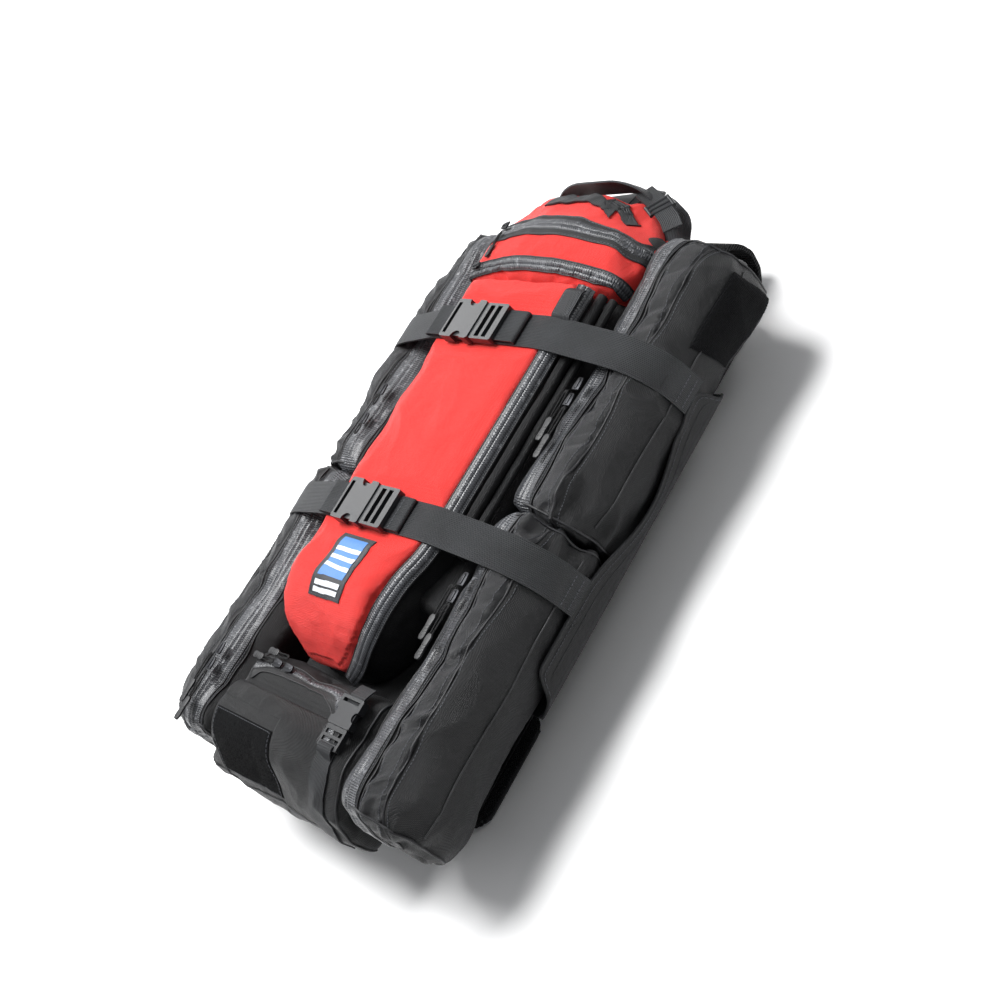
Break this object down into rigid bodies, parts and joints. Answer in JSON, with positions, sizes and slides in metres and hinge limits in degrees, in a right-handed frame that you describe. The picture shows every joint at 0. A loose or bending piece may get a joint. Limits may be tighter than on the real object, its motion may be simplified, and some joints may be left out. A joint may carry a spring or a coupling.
{
  "type": "medical rescue backpack",
  "caption": "Long rescue backpack with a red spine panel and lid, zipped side pods, two compression straps with side-release buckles and a folded harness.",
  "frame": {"origin": "centre of the back pad's flat rest face", "axes": "+X to the pack's right as its front is seen, +Y towards its top end, +Z out of its front; the pack lies on its harness side"},
  "size_m": [0.434, 0.7525, 0.2036],
  "materials": {
    "red_ripstop": "coated ripstop nylon, satin",
    "black_cordura": "textured black nylon, matte",
    "webbing": "flat woven nylon webbing",
    "zipper": "coil zip on a coated, glossy tape",
    "acetal": "moulded acetal",
    "slider_metal": "black lacquered die casting",
    "pull_plastic": "cord loop in a moulded tab",
    "padded_mesh": "spacer mesh over foam",
    "frame_plastic": "polyethylene sheet",
    "stay_alloy": "mill finish bar",
    "label": "woven label, no lettering",
    "loop_pile": "hook-and-loop pile"
  },
  "bodies": {
    "pack": {"back_pad": "padded_mesh", "bottom_pouch": "black_cordura", "bottom_pouch_zipper": "zipper", "compression_wings": "black_cordura", "frame_sheet": "frame_plastic", "frame_stays": "stay_alloy", "handle_buckle_socket": "acetal", "label_patch": "label", "lid_pocket": "red_ripstop", "lid_zippers": "zipper", "loop_field": "loop_pile", "lower_buckle_socket": "acetal", "lower_compression_strap": "webbing", "lower_left_pod": "black_cordura", "lower_right_pod": "black_cordura", "main_bag": "black_cordura", "pod_zippers": "zipper", "pouch_buckle_socket": "acetal", "pouch_strap": "webbing", "shoulder_yoke": "padded_mesh", "spine_front_panel": "red_ripstop", "spine_pouch": "black_cordura", "spine_zipper": "zipper", "upper_buckle_socket": "acetal", "upper_compression_strap": "webbing", "upper_left_pod": "black_cordura", "upper_right_pod": "black_cordura", "webbing_tab": "webbing"},
    "shoulder_strap_right": {"shoulder_strap_right": "padded_mesh"},
    "hip_belt_right": {"hip_belt_right": "padded_mesh"},
    "shoulder_strap_left": {"shoulder_strap_left": "padded_mesh"},
    "hip_belt_left": {"hip_belt_left": "padded_mesh"},
    "haul_handle": {"haul_handle": "webbing"},
    "upper_plug": {"upper_buckle_plug": "acetal", "upper_strap_tail": "webbing"},
    "lower_plug": {"lower_buckle_plug": "acetal"},
    "pouch_plug": {"pouch_buckle_plug": "acetal"},
    "handle_plug": {"handle_buckle_plug": "acetal"},
    "slider_upper_right_a": {"slider_upper_right_a": "slider_metal"},
    "pull_upper_right_a": {"pull_upper_right_a": "pull_plastic"},
    "slider_upper_right_b": {"slider_upper_right_b": "slider_metal"},
    "pull_upper_right_b": {"pull_upper_right_b": "pull_plastic"},
    "slider_lower_right_a": {"slider_lower_right_a": "slider_metal"},
    "pull_lower_right_a": {"pull_lower_right_a": "pull_plastic"},
    "slider_lower_right_b": {"slider_lower_right_b": "slider_metal"},
    "pull_lower_right_b": {"pull_lower_right_b": "pull_plastic"},
    "slider_upper_left_a": {"slider_upper_left_a": "slider_metal"},
    "slider_upper_left_b": {"slider_upper_left_b": "slider_metal"},
    "slider_lower_left_a": {"slider_lower_left_a": "slider_metal"},
    "pull_lower_left_a": {"pull_lower_left_a": "pull_plastic"},
    "slider_lower_left_b": {"slider_lower_left_b": "slider_metal"},
    "pull_lower_left_b": {"pull_lower_left_b": "pull_plastic"},
    "slider_bottom_a": {"slider_bottom_a": "slider_metal"},
    "pull_bottom_a": {"pull_bottom_a": "pull_plastic"},
    "slider_bottom_b": {"slider_bottom_b": "slider_metal"},
    "pull_bottom_b": {"pull_bottom_b": "pull_plastic"},
    "slider_lid": {"slider_lid": "slider_metal"},
    "pull_lid": {"pull_lid": "pull_plastic"},
    "slider_throat": {"slider_throat": "slider_metal"},
    "slider_spine": {"slider_spine": "slider_metal"}
  },
  "joints": [
    {"name": "shoulder_strap_right_swing", "type": "hinge", "parent": "pack", "child": "shoulder_strap_right", "pos_m": [0.081, 0.3338, 0.0004], "axis": [1, 0, 0], "range_deg": [0, 110]},
    {"name": "hip_belt_right_swing", "type": "hinge", "parent": "pack", "child": "hip_belt_right", "pos_m": [0.0525, -0.234, 0.0004], "axis": [0, 1, 0], "range_deg": [0, 100]},
    {"name": "shoulder_strap_left_swing", "type": "hinge", "parent": "pack", "child": "shoulder_strap_left", "pos_m": [-0.081, 0.3338, 0.0004], "axis": [1, 0, 0], "range_deg": [0, 110]},
    {"name": "hip_belt_left_swing", "type": "hinge", "parent": "pack", "child": "hip_belt_left", "pos_m": [-0.0525, -0.234, 0.0004], "axis": [0, -1, 0], "range_deg": [0, 100]},
    {"name": "haul_handle_swing", "type": "hinge", "parent": "pack", "child": "haul_handle", "pos_m": [-0.03, 0.3378, 0.136], "axis": [1, 0, 0], "range_deg": [-15, 33]},
    {"name": "upper_buckle_release", "type": "slide", "parent": "pack", "child": "upper_plug", "axis": [1, 0, 0], "range_m": [0, 0.032]},
    {"name": "lower_buckle_release", "type": "slide", "parent": "pack", "child": "lower_plug", "axis": [1, 0, 0], "range_m": [0, 0.032]},
    {"name": "pouch_buckle_release", "type": "slide", "parent": "pack", "child": "pouch_plug", "axis": [0, -1, 0], "range_m": [0, 0.022]},
    {"name": "handle_buckle_release", "type": "slide", "parent": "pack", "child": "handle_plug", "axis": [0.4888, -0.4888, -0.7226], "range_m": [0, 0.02]},
    {"name": "slider_upper_right_a_travel", "type": "slide", "parent": "pack", "child": "slider_upper_right_a", "axis": [0, 1, 0], "range_m": [0, 0.161]},
    {"name": "pull_upper_right_a_flip", "type": "hinge", "parent": "slider_upper_right_a", "child": "pull_upper_right_a", "pos_m": [0.1282, 0.0915, 0.1723], "axis": [-1, 0, 0], "range_deg": [0, 100]},
    {"name": "slider_upper_right_b_travel", "type": "slide", "parent": "pack", "child": "slider_upper_right_b", "axis": [0, 1, 0], "range_m": [-0.092, 0]},
    {"name": "pull_upper_right_b_flip", "type": "hinge", "parent": "slider_upper_right_b", "child": "pull_upper_right_b", "pos_m": [0.1378, 0.0735, 0.1723], "axis": [-1, 0, 0], "range_deg": [0, 100]},
    {"name": "slider_lower_right_a_travel", "type": "slide", "parent": "pack", "child": "slider_lower_right_a", "axis": [0, 1, 0], "range_m": [0, 0.066]},
    {"name": "pull_lower_right_a_flip", "type": "hinge", "parent": "slider_lower_right_a", "child": "pull_lower_right_a", "pos_m": [0.1282, -0.1245, 0.1723], "axis": [-1, 0, 0], "range_deg": [0, 100]},
    {"name": "slider_lower_right_b_travel", "type": "slide", "parent": "pack", "child": "slider_lower_right_b", "axis": [0, 1, 0], "range_m": [-0.187, 0]},
    {"name": "pull_lower_right_b_flip", "type": "hinge", "parent": "slider_lower_right_b", "child": "pull_lower_right_b", "pos_m": [0.1378, -0.1425, 0.1723], "axis": [-1, 0, 0], "range_deg": [0, 100]},
    {"name": "slider_upper_left_a_travel", "type": "slide", "parent": "pack", "child": "slider_upper_left_a", "axis": [0, 1, 0], "range_m": [0, 0.2]},
    {"name": "slider_upper_left_b_travel", "type": "slide", "parent": "pack", "child": "slider_upper_left_b", "axis": [0, 1, 0], "range_m": [-0.03, 0]},
    {"name": "slider_lower_left_a_travel", "type": "slide", "parent": "pack", "child": "slider_lower_left_a", "axis": [0, 1, 0], "range_m": [0, 0.136]},
    {"name": "pull_lower_left_a_flip", "type": "hinge", "parent": "slider_lower_left_a", "child": "pull_lower_left_a", "pos_m": [-0.1558, -0.2705, 0.1723], "axis": [-1, 0, 0], "range_deg": [0, 100]},
    {"name": "slider_lower_left_b_travel", "type": "slide", "parent": "pack", "child": "slider_lower_left_b", "axis": [0, 1, 0], "range_m": [-0.042, 0]},
    {"name": "pull_lower_left_b_flip", "type": "hinge", "parent": "slider_lower_left_b", "child": "pull_lower_left_b", "pos_m": [-0.1462, -0.2885, 0.1723], "axis": [-1, 0, 0], "range_deg": [0, 100]},
    {"name": "slider_bottom_a_travel", "type": "slide", "parent": "pack", "child": "slider_bottom_a", "axis": [1, 0, 0], "range_m": [0, 0.092]},
    {"name": "pull_bottom_a_flip", "type": "hinge", "parent": "slider_bottom_a", "child": "pull_bottom_a", "pos_m": [-0.0585, -0.2412, 0.1543], "axis": [0, 1, 0], "range_deg": [0, 100]},
    {"name": "slider_bottom_b_travel", "type": "slide", "parent": "pack", "child": "slider_bottom_b", "axis": [1, 0, 0], "range_m": [-0.004, 0]},
    {"name": "pull_bottom_b_flip", "type": "hinge", "parent": "slider_bottom_b", "child": "pull_bottom_b", "pos_m": [-0.0785, -0.2508, 0.1543], "axis": [0, 1, 0], "range_deg": [0, 100]},
    {"name": "slider_lid_travel", "type": "hinge", "parent": "pack", "child": "slider_lid", "pos_m": [-0.0045, 0.271, -0.13], "axis": [0, 1, 0], "range_deg": [0, 29]},
    {"name": "pull_lid_flip", "type": "hinge", "parent": "slider_lid", "child": "pull_lid", "pos_m": [-0.08618, 0.2625, 0.18901], "axis": [-0.9681, 0, -0.2504], "range_deg": [0, 100]},
    {"name": "slider_throat_travel", "type": "hinge", "parent": "pack", "child": "slider_throat", "pos_m": [-0.0045, 0.219, -0.13], "axis": [0, 1, 0], "range_deg": [0, 31]},
    {"name": "slider_spine_travel", "type": "slide", "parent": "pack", "child": "slider_spine", "axis": [0, 1, 0], "range_m": [-0.242, 0]}
  ]
}
